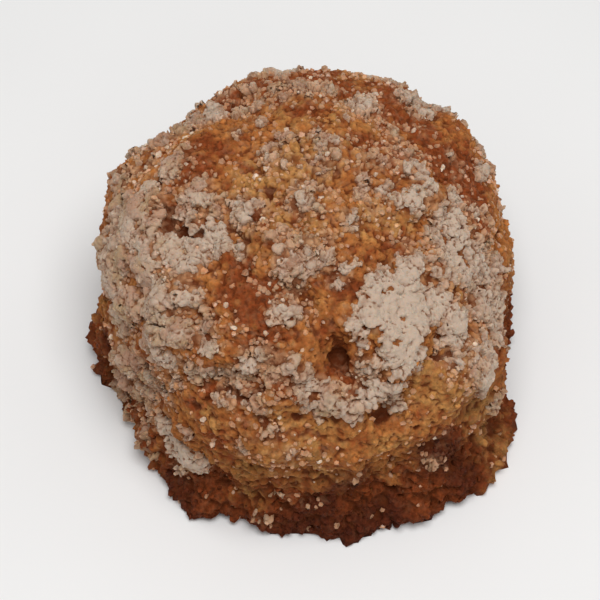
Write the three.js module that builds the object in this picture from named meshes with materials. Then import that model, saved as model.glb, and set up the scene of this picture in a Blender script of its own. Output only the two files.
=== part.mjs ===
// A lard cookie: a hand-rolled ball of short dough that slumped a little in the oven. It is one tall,
// slightly oval dome on a flat base, with a ragged foot where the dough crumbled and browned against
// the tray, cracks and an air hole in the crust, and clumps of the sugar that it was tossed in.
// Millimetres, +Z up, the origin in the middle of the base. The front of the cookie faces -Y.
import * as THREE from 'three';
import { ImprovedNoise } from 'three/addons/math/ImprovedNoise.js';
import { mergeVertices } from 'three/addons/utils/BufferGeometryUtils.js';

// A place on the cookie is a heading and a rise, in degrees, seen from the middle of the belly. The
// heading runs anticlockwise from +X seen from above, and the rise is the angle above level.

// The dome, before it is cracked and crumbled.
const WIDTH = 44;
const DEPTH = 48;
const HEIGHT = 33;
const BELLY_HEIGHT = 13;
const BELLY_TO_TUCK = 25;
const PLAN_SQUARENESS = 2.2;
const SIDE_SQUARENESS = 2.12;

// Where the outline bulges or was pressed in: how many degrees each lobe spreads, and how far it
// stands out at the belly.
const LOBES = [
  { heading: -18, spread: 22, reach: -0.9 },
  { heading: -140, spread: 24, reach: -2.6 },
  { heading: -90, spread: 26, reach: -0.7 },
  { heading: 145, spread: 24, reach: -2.4 },
  { heading: 72, spread: 18, reach: -0.8 },
  { heading: 36, spread: 26, reach: 1.7 },
];

// The ragged foot: a lip round the base, which stands out furthest just above the tray, with the
// places where it spread further.
const FOOT_HEIGHT = 3.4;
const FOOT_REACH = 2.7;
const LIP_HEIGHT = 1.2;
const FOOT_RAGS = [
  { size: 5.5, depth: 0.9 },
  { size: 2.9, depth: 0.7 },
];
const FOOT_LOBES = [
  { heading: -23, spread: 10, reach: 2.4 },
  { heading: -37, spread: 11, reach: 3.4 },
  { heading: -52, spread: 13, reach: 1.5 },
  { heading: 174, spread: 9, reach: 2.4 },
  { heading: -80, spread: 20, reach: 1.0 },
  { heading: 75, spread: 18, reach: 0.8 },
];

// The uneven dough, from lumps as wide as a fingertip down to crumbs.
const CRAGS = [
  { size: 13, depth: 0.9 },
  { size: 6.5, depth: 0.75 },
  { size: 3.7, depth: 0.45 },
  { size: 2.4, depth: 0.22 },
];

// Smooth swellings of bare dough.
const BULGES = [
  { heading: -50, rise: 16, radius: 5.5, height: 0.9 },
  { heading: -78, rise: 10, radius: 5.5, height: 0.7 },
  { heading: -107, rise: 13, radius: 5, height: 0.6 },
  { heading: -103, rise: 44, radius: 6, height: 0.5 },
  { heading: 65, rise: 22, radius: 6, height: 0.7 },
];

// Clumps of sugar stuck to the crust, each a low plateau with a ragged edge.
const CLUMPS = [
  { heading: -51, rise: 43, radius: 4.6, thickness: 0.8 },
  { heading: -43, rise: 49, radius: 3.0, thickness: 0.7 },
  { heading: -59, rise: 35, radius: 3.2, thickness: 0.9 },
  { heading: -63, rise: 27, radius: 2.0, thickness: 0.9 },
  { heading: -64, rise: 47, radius: 2.0, thickness: 0.6 },
  { heading: -64, rise: 56, radius: 1.7, thickness: 0.6 },
  { heading: -84, rise: 23, radius: 2.6, thickness: 1.1 },
  { heading: -73, rise: 23, radius: 2.0, thickness: 0.9 },
  { heading: -98, rise: 25, radius: 2.2, thickness: 0.8 },
  { heading: -109, rise: 24, radius: 1.6, thickness: 0.7 },
  { heading: -95, rise: 48, radius: 1.3, thickness: 0.6 },
  { heading: -94, rise: 60, radius: 1.5, thickness: 0.4 },
  { heading: -99, rise: 81, radius: 1.3, thickness: 0.5 },
  { heading: 3, rise: 56, radius: 1.6, thickness: 0.7 },
  { heading: -13, rise: 58, radius: 1.5, thickness: 0.6 },
  { heading: -10, rise: 42, radius: 2.4, thickness: 0.4 },
  { heading: -20, rise: 35, radius: 3.0, thickness: 0.5 },
  { heading: -35, rise: 29, radius: 2.6, thickness: 0.5 },
  { heading: 52, rise: 62, radius: 1.8, thickness: 0.9 },
  { heading: 87, rise: 60, radius: 1.9, thickness: 0.8 },
  { heading: -161, rise: 38, radius: 3.2, thickness: 0.5 },
  { heading: -145, rise: 40, radius: 3.0, thickness: 0.7 },
  { heading: -156, rise: 26, radius: 3.4, thickness: 0.6 },
  { heading: -134, rise: 29, radius: 3.6, thickness: 0.8 },
  { heading: -143, rise: 15, radius: 3.2, thickness: 0.7 },
  { heading: -119, rise: 29, radius: 2.2, thickness: 0.7 },
  { heading: -134, rise: 60, radius: 1.9, thickness: 0.7 },
  { heading: -147, rise: 52, radius: 1.8, thickness: 0.6 },
  { heading: -129, rise: 0, radius: 2.2, thickness: 0.9 },
  { heading: -123, rise: -12, radius: 2.4, thickness: 1.0 },
  { heading: 172, rise: 44, radius: 3.4, thickness: 0.4 },
];

// The side away from the front has clumps of the same kind, set out by the golden ratio.
const BACK_CLUMPS = {
  count: 22,
  heading: [15, 165],
  rise: [2, 55],
  radius: [1.4, 3.6],
  thickness: [0.5, 1.0],
};
const GOLDEN_RATIO = 0.618034;

// How a clump's edge frays, as a share of its radius, how its top is pitted, as a share of its
// thickness, and how much of its radius the slope down to the crust takes.
const CLUMP_FRAY = [
  { size: 3.4, depth: 0.45 },
  { size: 2.1, depth: 0.2 },
];
const CLUMP_PITTING = [{ size: 2.6, depth: 0.3 }];
const CLUMP_SLOPE = [-0.1, 0.5];

// Cracks and crevices, each along a smooth line through a few places, from which it wanders.
const CRACKS = [
  { line: [[96, 70], [88, 81], [-6, 84], [-30, 81]], width: 0.9, depth: 0.9 },
  { line: [[-92, 53], [-88, 48], [-82, 44], [-79, 39]], width: 0.9, depth: 1.3 },
  { line: [[-81, 34], [-77, 31], [-71, 29]], width: 0.9, depth: 1.3 },
  { line: [[-72, 19], [-68, 18], [-63, 19]], width: 0.9, depth: 1.4 },
  { line: [[-119, 22], [-111, 27], [-104, 27], [-97, 31], [-92, 29]], width: 0.9, depth: 1.1 },
  { line: [[-62, 22], [-55, 27], [-48, 27], [-41, 25]], width: 0.8, depth: 0.9 },
  { line: [[-166, 51], [-156, 52], [-144, 56]], width: 1.0, depth: 0.9 },
  { line: [[-152, 34], [-143, 31], [-135, 36]], width: 0.8, depth: 0.8 },
  { line: [[30, 50], [44, 42], [50, 30], [63, 24]], width: 1.0, depth: 1.5 },
  { line: [[118, 44], [126, 34], [140, 30]], width: 1.0, depth: 1.3 },
  { line: [[5, 14], [14, 8], [25, 9]], width: 0.9, depth: 1.1 },
  { line: [[-178, 12], [-188, 5], [-197, 7]], width: 0.9, depth: 1.1 },
];
const STEPS_ALONG_CRACK = 24;
const CRACK_WANDER = [{ size: 2.2, depth: 0.25 }];

// Small round hollows: the air hole in the front, and pits.
const HOLLOWS = [
  { heading: -78, rise: 36, radius: 1.3, height: -2.4 },
  { heading: 174, rise: 74, radius: 0.9, height: -0.9 },
  { heading: 100, rise: 38, radius: 1.2, height: -1.6 },
  { heading: 20, rise: 28, radius: 1.0, height: -1.1 },
];

// How finely the surface is divided, and how much of it goes to the dome rather than the base.
const DIVISIONS = 22;
const CROWDING = 0.7;

// The noise seldom passes half of its full range, so it is drawn out to the depths named above. Each
// size of lump starts at its own place in the noise.
const NOISE_STRETCH = 2;
const NOISE_START = 16.2;

const noise = new ImprovedNoise();

function lumps(point, scales) {
  return scales.reduce((sum, { size, depth }) => {
    const start = NOISE_START * size;
    const height = noise.noise(point.x / size + start, point.y / size - start, point.z / size);
    return sum + NOISE_STRETCH * depth * height;
  }, 0);
}

function bell(distance, width) {
  return Math.exp(-((distance / width) ** 2));
}

function turnBetween(a, b) {
  return Math.abs(THREE.MathUtils.euclideanModulo(a - b + 180, 360) - 180);
}

function lobed(heading, lobes) {
  const degrees = THREE.MathUtils.radToDeg(heading);
  return lobes.reduce((sum, lobe) => {
    return sum + lobe.reach * bell(turnBetween(degrees, lobe.heading), lobe.spread);
  }, 0);
}

function planReach(heading) {
  const across = Math.abs(Math.cos(heading)) / (WIDTH / 2);
  const along = Math.abs(Math.sin(heading)) / (DEPTH / 2);
  const oval = Math.pow(across ** PLAN_SQUARENESS + along ** PLAN_SQUARENESS, -1 / PLAN_SQUARENESS);
  return oval + lobed(heading, LOBES);
}

function domeReach(direction) {
  const level = Math.hypot(direction.x, direction.y) / planReach(Math.atan2(direction.y, direction.x));
  const limit = direction.z > 0 ? HEIGHT - BELLY_HEIGHT : BELLY_TO_TUCK;
  const rise = Math.abs(direction.z) / limit;
  return Math.pow(level ** SIDE_SQUARENESS + rise ** SIDE_SQUARENESS, -1 / SIDE_SQUARENESS);
}

function pointAt(direction, reach) {
  return new THREE.Vector3(0, 0, BELLY_HEIGHT).addScaledVector(direction, reach);
}

function placeOnDome(heading, rise) {
  const turn = THREE.MathUtils.degToRad(heading);
  const tilt = THREE.MathUtils.degToRad(rise);
  const level = Math.cos(tilt);
  const direction = new THREE.Vector3(level * Math.cos(turn), level * Math.sin(turn), Math.sin(tilt));
  return pointAt(direction, domeReach(direction));
}

function backClumps() {
  const { count, heading, rise, radius, thickness } = BACK_CLUMPS;
  return Array.from({ length: count }, (_, i) => ({
    heading: THREE.MathUtils.lerp(...heading, (i * GOLDEN_RATIO) % 1),
    rise: THREE.MathUtils.lerp(...rise, (i + 0.5) / count),
    radius: THREE.MathUtils.lerp(...radius, (3 * i * GOLDEN_RATIO) % 1),
    thickness: THREE.MathUtils.lerp(...thickness, (5 * i * GOLDEN_RATIO) % 1),
  }));
}

function placed(marks) {
  return marks.map((mark) => ({ ...mark, place: placeOnDome(mark.heading, mark.rise) }));
}

function crackPlaces(crack) {
  const line = crack.line.map(([heading, rise]) => placeOnDome(heading, rise));
  return { ...crack, places: new THREE.CatmullRomCurve3(line).getSpacedPoints(STEPS_ALONG_CRACK) };
}

const swells = placed([...BULGES, ...HOLLOWS]);
const clumps = placed([...CLUMPS, ...backClumps()]);
const cracks = CRACKS.map(crackPlaces);

function footReach(point, heading) {
  const aboveLip = point.z - LIP_HEIGHT;
  const nearBase = bell(aboveLip, aboveLip > 0 ? FOOT_HEIGHT : 2 * LIP_HEIGHT);
  return nearBase * (FOOT_REACH + lobed(heading, FOOT_LOBES) + lumps(point, FOOT_RAGS));
}

function swelling(point) {
  return swells.reduce((sum, { place, radius, height }) => {
    return sum + height * bell(point.distanceTo(place), radius);
  }, 0);
}

// The thickest clump at a point.
function sugarThickness(point) {
  const fray = lumps(point, CLUMP_FRAY);
  const top = 1 + lumps(point, CLUMP_PITTING);
  const thicknesses = clumps.map((clump) => {
    const inside = 1 - point.distanceTo(clump.place) / clump.radius + fray;
    return clump.thickness * top * THREE.MathUtils.smoothstep(inside, ...CLUMP_SLOPE);
  });
  return Math.max(...thicknesses);
}

function crackDepth(point) {
  const wandering = point.clone().addScalar(lumps(point, CRACK_WANDER));
  return cracks.reduce((deepest, crack) => {
    const distance = Math.min(...crack.places.map((place) => wandering.distanceTo(place)));
    return Math.max(deepest, crack.depth * bell(distance, crack.width));
  }, 0);
}

function surfacePoint(direction) {
  const smooth = domeReach(direction);
  const point = pointAt(direction, smooth);
  const relief = swelling(point) + sugarThickness(point) + lumps(point, CRAGS) - crackDepth(point);
  const reach = smooth + footReach(point, Math.atan2(direction.y, direction.x)) + relief;
  if (reach * -direction.z >= BELLY_HEIGHT) {
    return pointAt(direction, BELLY_HEIGHT / -direction.z).setZ(0);
  }
  return pointAt(direction, reach);
}

// Draws the directions towards the top, so that the flat base gets fewer of the triangles.
function crowdUpwards(direction) {
  const height = 2 * Math.pow((direction.z + 1) / 2, CROWDING) - 1;
  const level = Math.hypot(direction.x, direction.y);
  const scale = level > 0 ? Math.sqrt(1 - height * height) / level : 0;
  return new THREE.Vector3(direction.x * scale, direction.y * scale, height);
}

function cookieGeometry() {
  const ball = new THREE.IcosahedronGeometry(1, DIVISIONS);
  ball.deleteAttribute('normal');
  ball.deleteAttribute('uv');
  const geometry = mergeVertices(ball);
  const position = geometry.getAttribute('position');
  const direction = new THREE.Vector3();
  for (let i = 0; i < position.count; i++) {
    direction.fromBufferAttribute(position, i).normalize();
    const point = surfacePoint(crowdUpwards(direction));
    position.setXYZ(i, point.x, point.y, point.z);
  }
  geometry.computeBoundingBox();
  const middle = geometry.boundingBox.getCenter(new THREE.Vector3());
  geometry.translate(-middle.x, -middle.y, 0);
  geometry.computeVertexNormals();
  return geometry;
}

const crust = new THREE.MeshStandardMaterial({ color: 0xa8764c, roughness: 0.85, metalness: 0 });
const cookie = new THREE.Mesh(cookieGeometry(), crust);
cookie.name = 'cookie';

const group = new THREE.Group();
group.add(cookie);

export default group;
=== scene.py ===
"""The looks of one lard cookie, built round its solid and laid out as a Blender add-on.

The cookie is short dough, baked brown and tossed in coarse sugar while warm. The crust is a finer
surface of the same form as the solid. Sugar clumps with their grains, loose sugar, dough grains and
crumbs lie on it.
Lengths inside the functions are in millimetres, and meshes are made in metres.
"""

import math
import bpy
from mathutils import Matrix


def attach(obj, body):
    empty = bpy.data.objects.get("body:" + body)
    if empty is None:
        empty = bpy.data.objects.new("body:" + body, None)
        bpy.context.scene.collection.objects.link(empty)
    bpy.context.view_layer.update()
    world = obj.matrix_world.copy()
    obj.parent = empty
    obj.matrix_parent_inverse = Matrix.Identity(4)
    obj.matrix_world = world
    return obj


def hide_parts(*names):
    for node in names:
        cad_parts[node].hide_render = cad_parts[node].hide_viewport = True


bl_info = {
    "name": "Lard Cookie",
    "version": (1, 0, 0),
    "blender": (4, 5, 0),
    "location": "3D View > Sidebar > Cookie",
    "description": "Builds the crust, sugar and crumbs of a lard cookie round its solid",
    "category": "Add Mesh",
}

import bmesh
import bpy
import numpy as np
from bpy.props import FloatProperty, FloatVectorProperty, IntProperty, PointerProperty
from mathutils import Vector, noise
from mathutils.kdtree import KDTree

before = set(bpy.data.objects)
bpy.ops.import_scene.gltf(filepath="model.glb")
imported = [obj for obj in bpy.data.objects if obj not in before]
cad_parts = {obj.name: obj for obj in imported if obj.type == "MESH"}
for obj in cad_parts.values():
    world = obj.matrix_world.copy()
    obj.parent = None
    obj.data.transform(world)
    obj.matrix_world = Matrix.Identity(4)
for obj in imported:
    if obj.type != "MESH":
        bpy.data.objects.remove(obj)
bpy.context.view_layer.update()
SOLID = "cookie"
BODY = "root"
MM = 0.001

# What shows was picked in the photograph, and its place is kept in the photograph's pixels.
# The camera looks at a point over the middle of the base, which is in the middle of the picture.
PIXELS_PER_MM = 5.35
PHOTO_MIDDLE = np.array([149.5, 428.0])
CAMERA_ELEVATION = math.radians(55)
CAMERA_DISTANCE = 300.0
CAMERA_TARGET = np.array([0.0, 0.0, 10.0])

# A point is seen if it faces the camera by at least this share, and a nearer point counts for more.
FACING_SHARE = 0.05
NEARNESS_WEIGHT = 0.3

# A place behind is a heading and a rise in degrees, seen from the middle of the belly. The heading
# runs anticlockwise from +X seen from above, and the front is at -90.
BELLY = np.array([0.253, -0.316, 13.0])

# Sugar clumps: two pixels, the radius in millimetres, and how white the sugar is.
CLUMPS = [
    (206, 432, 4, 1), (190, 438, 2.3, 0.95), (225, 430, 2.3, 0.95), (212, 414, 1.8, 0.9),
    (196, 419, 1.9, 0.95), (208, 451, 2.9, 1), (210, 466, 1.9, 1), (205, 478, 1.3, 0.95),
    (202, 486, 1, 0.9), (186, 452, 1.2, 0.85), (190, 465, 1, 0.85), (226, 414, 1, 0.85),
    (219, 405, 0.8, 0.85), (175, 412, 1.3, 0.85), (185, 407, 0.8, 0.8), (171, 418, 0.8, 0.75),
    (240, 443, 2.2, 1), (229, 451, 0.8, 0.8), (258, 458, 1.6, 0.7), (250, 463, 1, 0.5),
    (259, 472, 2, 0.9), (262, 487, 1.4, 0.35), (241, 465, 0.5, 0.9), (249, 480, 0.7, 0.35),
    (256, 431, 2.1, 0.8), (262, 420, 1.3, 0.65), (262, 444, 1.4, 0.6), (216, 353, 1.2, 0.9),
    (222, 359, 1, 0.85), (213, 371, 1.6, 0.95), (218, 366, 0.9, 0.8), (238, 369, 0.9, 0.8),
    (235, 384, 1.8, 0.95), (227, 389, 1, 0.8), (243, 393, 1.5, 0.95), (240, 403, 2.7, 1),
    (250, 402, 1.5, 0.72), (257, 396, 1.2, 0.65), (256, 412, 1.4, 0.75), (246, 413, 1.2, 0.7),
    (236, 413, 0.8, 0.6), (262, 405, 1, 0.6), (248, 421, 0.8, 0.6), (253, 354, 0.5, 0.75),
    (237, 343, 0.5, 0.85), (257, 380, 0.9, 0.5), (248, 378, 0.5, 0.55), (263, 389, 0.6, 0.5),
    (205, 336, 0.45, 0.5), (198, 366, 0.45, 0.6), (186, 366, 0.5, 0.6), (143, 405, 1, 0.42),
    (150, 412, 1, 0.48), (156, 406, 0.8, 0.55), (163, 404, 0.8, 0.6), (180, 383, 0.7, 0.5),
    (166, 393, 0.5, 0.4), (136, 436, 0.8, 0.85), (142, 435, 0.7, 0.85), (147, 424, 0.5, 0.4),
    (162, 488, 2.4, 0.58), (155, 479, 1, 0.6), (153, 470, 0.9, 0.5), (190, 483, 1.4, 0.9),
    (182, 495, 1.3, 0.75), (195, 473, 0.5, 0.8), (172, 495, 1, 0.7), (146, 466, 0.9, 0.6),
    (122, 467, 1.2, 0.55), (118, 473, 0.7, 0.4), (105, 485, 1.1, 0.5), (120, 487, 0.6, 0.35),
    (132, 505, 0.5, 0.5), (116, 513, 0.55, 0.5), (128, 493, 0.6, 0.3), (102, 392, 2.2, 1),
    (114, 398, 0.9, 0.8), (90, 400, 1.4, 0.5), (60, 408, 2.1, 0.6), (75, 402, 1.9, 0.5),
    (80, 412, 1.3, 0.45), (85, 427, 1.7, 0.68), (71, 427, 1.6, 0.55), (61, 430, 1.2, 0.55),
    (45, 427, 1.7, 0.42), (70, 438, 1.1, 0.4), (78, 447, 1.8, 0.35), (70, 463, 1.8, 0.6),
    (98, 455, 1, 0.3), (100, 468, 1.2, 0.5), (95, 440, 0.9, 0.4), (88, 468, 1.2, 0.38),
    (78, 476, 1.3, 0.4), (61, 450, 1.6, 0.35), (50, 440, 1.6, 0.32), (75, 487, 1.2, 0.38),
    (65, 481, 1.2, 0.3), (52, 463, 1.3, 0.15), (46, 478, 1.3, 0.1), (55, 482, 1.2, 0.12),
    (73, 503, 2.1, 0.95), (78, 514, 2.2, 0.95), (86, 521, 1.9, 0.95), (79, 526, 1.2, 0.65),
    (85, 507, 0.7, 0.35), (60, 503, 1.4, 0.3), (52, 491, 1.3, 0.3), (62, 516, 1.1, 0.15),
    (72, 395, 1.2, 0.4), (47, 412, 1.6, 0.3), (58, 370, 1.8, 0.3), (50, 385, 2.6, 0.38),
    (44, 400, 2.4, 0.32), (92, 365, 1.6, 0.5), (85, 375, 1.3, 0.5), (97, 375, 1.2, 0.52),
    (113, 373, 1, 0.78), (123, 374, 0.5, 0.6), (115, 383, 0.8, 0.45), (103, 382, 0.7, 0.5),
    (75, 331, 1.8, 0.15), (80, 345, 1.2, 0.15), (90, 326, 1.2, 0.15), (183, 315, 1.5, 1),
    (176, 323, 0.6, 1), (187, 312, 0.6, 0.9), (155, 308, 0.7, 0.5), (165, 307, 0.5, 0.4),
    (140, 311, 0.7, 0.3), (138, 336, 1.1, 0.4), (132, 345, 0.5, 0.4), (142, 347, 0.7, 0.45),
    (166, 335, 0.7, 0.35), (160, 352, 1.1, 0.35), (150, 362, 0.9, 0.4), (146, 369, 0.8, 0.4),
    (113, 330, 0.8, 0.4), (130, 325, 0.7, 0.35), (186, 358, 0.8, 0.3), (212, 311, 0.5, 0.5),
    (128, 556, 1.2, 0.3), (137, 541, 0.5, 0.3), (40, 420, 2.2, 0.4), (45, 440, 1.8, 0.4),
    (38, 395, 2, 0.4), (48, 478, 1.8, 0.3), (64, 496, 1.2, 0.4), (249, 470, 0.9, 0.6),
    (262, 430, 1.8, 0.8), (46, 358, 1.5, 0.25), (42, 375, 1.6, 0.25), (231, 526, 0.4, 0.6),
]

# The side away from the front has clumps of the same kind, of a few round parts each and set out by
# the golden ratio: headings and rises in degrees, and how far the parts of a clump lie apart.
GOLDEN_RATIO = 0.618034
BACK_CLUMP_COUNT = 12
BACK_CLUMP_PARTS = 6
BACK_HEADINGS = (28, 152)
BACK_RISES = (-6, 36)
BACK_PART_SPREAD = 5.0
BACK_RADII = (1.0, 2.0)
BACK_WHITENESS = (0.35, 1.0)
BACK_PART_SHRINKING = 0.11
BACK_PART_FADING = 0.08

# A light dusting of sugar: the place, its radius and how thick it lies.
DUSTINGS = [
    (150, 305, 6, 0.55), (110, 318, 3, 0.2), (185, 318, 4.5, 0.55), (215, 322, 5, 0.5),
    (135, 338, 4, 0.7), (165, 340, 4, 0.62), (190, 345, 4, 0.6), (155, 360, 4.5, 0.62),
    (120, 350, 4, 0.5), (210, 345, 4, 0.62), (240, 350, 4, 0.3), (195, 370, 3.5, 0.58),
    (250, 375, 3.4, 0.5), (225, 395, 4, 0.6), (255, 405, 4.5, 0.8), (255, 430, 4.5, 0.78),
    (250, 455, 4, 0.72), (260, 475, 3.5, 0.6), (150, 405, 4.5, 0.66), (170, 395, 3, 0.62),
    (140, 418, 3.5, 0.56), (155, 435, 3, 0.5), (130, 465, 4, 0.6), (150, 475, 3.5, 0.6),
    (110, 478, 3.5, 0.62), (130, 490, 4, 0.3), (180, 475, 3, 0.6), (100, 445, 3, 0.68),
    (93, 425, 3, 0.62), (100, 418, 2.5, 0.5), (75, 365, 6, 0.72), (55, 380, 7, 0.86), (60, 410, 7, 0.9),
    (65, 440, 7, 0.88), (60, 470, 6, 0.78), (55, 495, 4, 0.7), (75, 510, 4, 0.74), (90, 375, 4, 0.7),
    (115, 380, 3.5, 0.66), (65, 345, 5, 0.45), (90, 328, 4, 0.6), (125, 520, 4, 0.2),
    (150, 520, 3.5, 0.3), (150, 545, 3, 0.3), (180, 530, 3, 0.3), (225, 525, 1.5, 0.5),
    (235, 465, 2.5, 0.55), (120, 400, 2.5, 0.4), (210, 495, 3, 0.3), (124, 318, 4, 0.66),
    (252, 476, 2.2, 0.75), (104, 308, 2, 0.3),
]
DUSTINGS_BEHIND = [
    (150, 72, 5, 0.5), (60, 25, 9, 0.5), (100, 22, 9, 0.6), (135, 8, 9, 0.5), (30, 12, 8, 0.5),
    (60, 50, 6, 0.5), (125, 48, 6, 0.5), (156, 32, 7, 0.6), (95, 54, 6, 0.6),
]

# Where the sugar was pressed into a closed coat: the place, its radius and the strength.
CLOSED_COATS = [
    (60, 408, 6, 1), (75, 402, 4, 1), (70, 427, 4, 1), (50, 430, 6, 1), (70, 463, 3.4, 0.9),
    (50, 385, 6, 1), (55, 365, 4, 0.8), (65, 345, 5, 0.6), (98, 457, 2.2, 0.7), (75, 508, 3.4, 0.8),
    (92, 366, 2.6, 0.7), (240, 400, 3.5, 0.9), (40, 420, 5, 1), (46, 445, 4, 1), (50, 482, 3.5, 0.8),
    (240, 443, 3, 0.7), (262, 440, 3.5, 0.8), (82, 518, 2.5, 0.8), (42, 368, 3.5, 0.8),
    (262, 470, 2.4, 0.8),
]
CLOSED_COATS_BEHIND = [(120, 30, 6, 0.8)]

# Where the dough baked golden: the place, its radius and the strength.
GOLDEN_PLACES = [
    (150, 345, 4.2, 1.2), (120, 360, 3, 0.8), (132, 366, 2.5, 0.6), (160, 330, 2.5, 0.6),
    (130, 385, 3, 0.8), (120, 392, 2.5, 0.8), (150, 385, 2.5, 0.6), (205, 385, 2.6, 0.7),
    (190, 384, 2.4, 0.6), (235, 480, 4, 1), (224, 474, 2.6, 1), (256, 475, 2.6, 1), (246, 490, 3.6, 1),
    (215, 486, 2.4, 0.8), (240, 425, 1.8, 0.7), (120, 500, 3.4, 0.1), (96, 498, 2, 0.5),
    (142, 503, 3, 0.3), (162, 506, 3, 0.5), (183, 506, 2.6, 0.4), (112, 526, 3, 0.5),
    (135, 517, 2.6, 0.4), (200, 511, 2.4, 0.4), (152, 516, 2.6, 0.8), (90, 365, 2.4, 0.5),
    (170, 360, 2, 0.4), (262, 528, 2.6, 1), (128, 556, 1.4, 0.8), (190, 450, 1.2, 0.3),
    (163, 425, 1.4, 0.3), (258, 505, 3, 0.8), (162, 526, 2, 0.6), (120, 541, 2, 0.5), (260, 500, 3, 1.2),
    (150, 350, 3, 1.2),
]
GOLDEN_PLACES_BEHIND = [(95, 70, 5, 0.4), (75, 25, 6, 0.6), (140, 40, 5, 0.4)]

# Where it baked red-brown, and along the top and upper right painted shade, in the same way.
BROWN_AND_SHADED_PLACES = [
    (88, 351, 2.6, 1), (93, 338, 1.6, 0.8), (72, 382, 2, 1.2), (86, 388, 1.4, 1), (74, 393, 1.2, 0.8),
    (114, 411, 2.4, 0.85), (110, 425, 2.6, 0.7), (125, 432, 2.8, 0.85), (130, 446, 2.6, 0.6),
    (125, 456, 2.6, 0.6), (140, 471, 1.8, 0.8), (172, 465, 1.7, 1), (180, 478, 1.6, 1),
    (204, 398, 1.8, 0.5), (190, 402, 1.6, 0.5), (170, 419, 1.6, 0.8), (180, 420, 1.4, 0.7),
    (237, 352, 3.2, 1.2), (250, 366, 3, 1.2), (255, 382, 2.4, 1), (225, 346, 2.2, 0.9),
    (205, 346, 2.6, 0.7), (216, 326, 3.6, 0.9), (200, 316, 3, 0.7), (186, 336, 1.6, 0.6),
    (150, 319, 2, 0.6), (162, 301, 3, 0.8), (177, 305, 2.6, 0.7), (48, 357, 1.4, 0.9),
    (46, 371, 1.4, 0.9), (100, 321, 2, 0.7), (104, 516, 2.2, 0.6), (100, 508, 2, 0.5),
    (88, 490, 1.1, 0.8), (236, 505, 3.4, 0.5), (250, 501, 2, 0.3), (245, 421, 1.4, 0.6),
    (264, 440, 1.4, 0.8), (104, 341, 1.6, 0.6), (117, 351, 0.8, 0.8), (99, 438, 1.4, 0.7),
    (95, 480, 1.4, 0.9), (60, 470, 3.6, 0.8), (48, 480, 3.4, 0.9), (60, 505, 3.2, 0.9), (40, 455, 2.4, 1),
    (232, 406, 1.2, 0.9), (228, 342, 1.6, 0.9), (258, 420, 1.6, 0.7), (150, 397, 1.4, 0.4),
    (165, 445, 1.6, 0.5), (147, 480, 1.2, 0.6), (115, 478, 1.2, 0.8), (247, 346, 2, 0.9),
    (106, 314, 2, 1.2),
]
BROWN_PLACES_BEHIND = [
    (150, 20, 5, 0.5), (100, 40, 5, 0.6), (-20, 5, 4, 0.6), (52, 37, 5.5, 0.8), (95, 55, 4, 0.6),
]

# Dark hollows in the foot and under its lumps, their darkness painted shade: heading, rise, radius and depth,
# as for places behind.
SHADED_HOLLOWS = [
    (-55, -3, 1.7, 0.45), (-49, -14, 2.2, 0.8), (-84, -14, 2.2, 0.7), (-93, -10, 1.4, 0.4),
    (-105, -15, 1.9, 0.6), (-126, -24, 2.0, 0.6), (-66, -19, 1.6, 0.5), (-33, -16, 1.8, 0.5),
    (-73, -24, 1.6, 0.5), (-160, -22, 2.0, 0.5), (20, -16, 2.2, 0.6), (75, -18, 2.4, 0.7),
    (130, -20, 2.2, 0.6),
]

# Where the crust stands out from the solid a little, or lies lower: the place, its radius and height.
SWELLINGS = [
    (42, 478, 2.8, -3), (258, 355, 4, -0.6), (266, 412, 4, -0.6), (228, 546, 2.6, -0.5),
    (104, 313, 4.4, -2), (267, 490, 3, -1.2), (275, 500, 2.6, 0.8), (262, 536, 3, 0.8),
    (190, 565, 3, 0.9), (69, 547, 1.8, 0.5), (66, 530, 2, -0.9), (40, 489, 1.8, 0.5),
]
SWELLINGS_BEHIND = [
    (152, 44, 7, 1.3), (175, 30, 6, 0.7), (124, 50, 4, -0.6), (-158, -22, 5, -0.9), (-146, -22, 2.6, 0.5),
    (-50, -26, 2.2, -0.8), (-163, 8, 3, -0.6),
]

# Where the foot isn't dark, as sugar and pale dough reach down to the tray: the place, its radius
# and the strength.
PALE_FOOT = [
    (45, 480, 6, 0.8), (60, 512, 5, 1.2), (80, 524, 3.4, 0.9), (264, 507, 5, 1.2), (263, 528, 3.4, 1.2),
    (128, 556, 1.3, 0.8), (212, 541, 2.6, 0.45), (100, 545, 1.6, 0.4), (240, 537, 1.6, 0.35),
    (120, 541, 3.4, 1.2), (258, 490, 3, 1), (246, 497, 2.4, 0.9), (258, 505, 4, 1.3),
]
PALE_FOOT_BEHIND = [(150, -10, 9, 0.5)]

# Where it is scorched dark, and one mark of painted shade low on the left of the belly, in the same way.
BURNT_AND_SHADED_PLACES = [
    (230, 517, 2.6, 1.4), (242, 528, 1.6, 0.6), (110, 533, 1.4, 0.2), (155, 553, 2.6, 1.1),
    (146, 546, 1.4, 0.6), (186, 557, 2.2, 0.7), (165, 547, 1.6, 0.6), (202, 552, 1.8, 0.6),
    (79, 536, 1.8, 0.8), (39, 454, 2, 1), (172, 463, 0.9, 0.5), (197, 496, 0.9, 0.9), (90, 532, 1.3, 0.5),
    (180, 533, 2.8, 1), (125, 508, 3.5, 0.5), (238, 515, 2, 1), (246, 530, 1.6, 0.9),
]
BURNT_PLACES_BEHIND = [(60, -15, 3, 0.8), (110, -18, 2.6, 0.9), (10, -18, 2.6, 0.7)]

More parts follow.
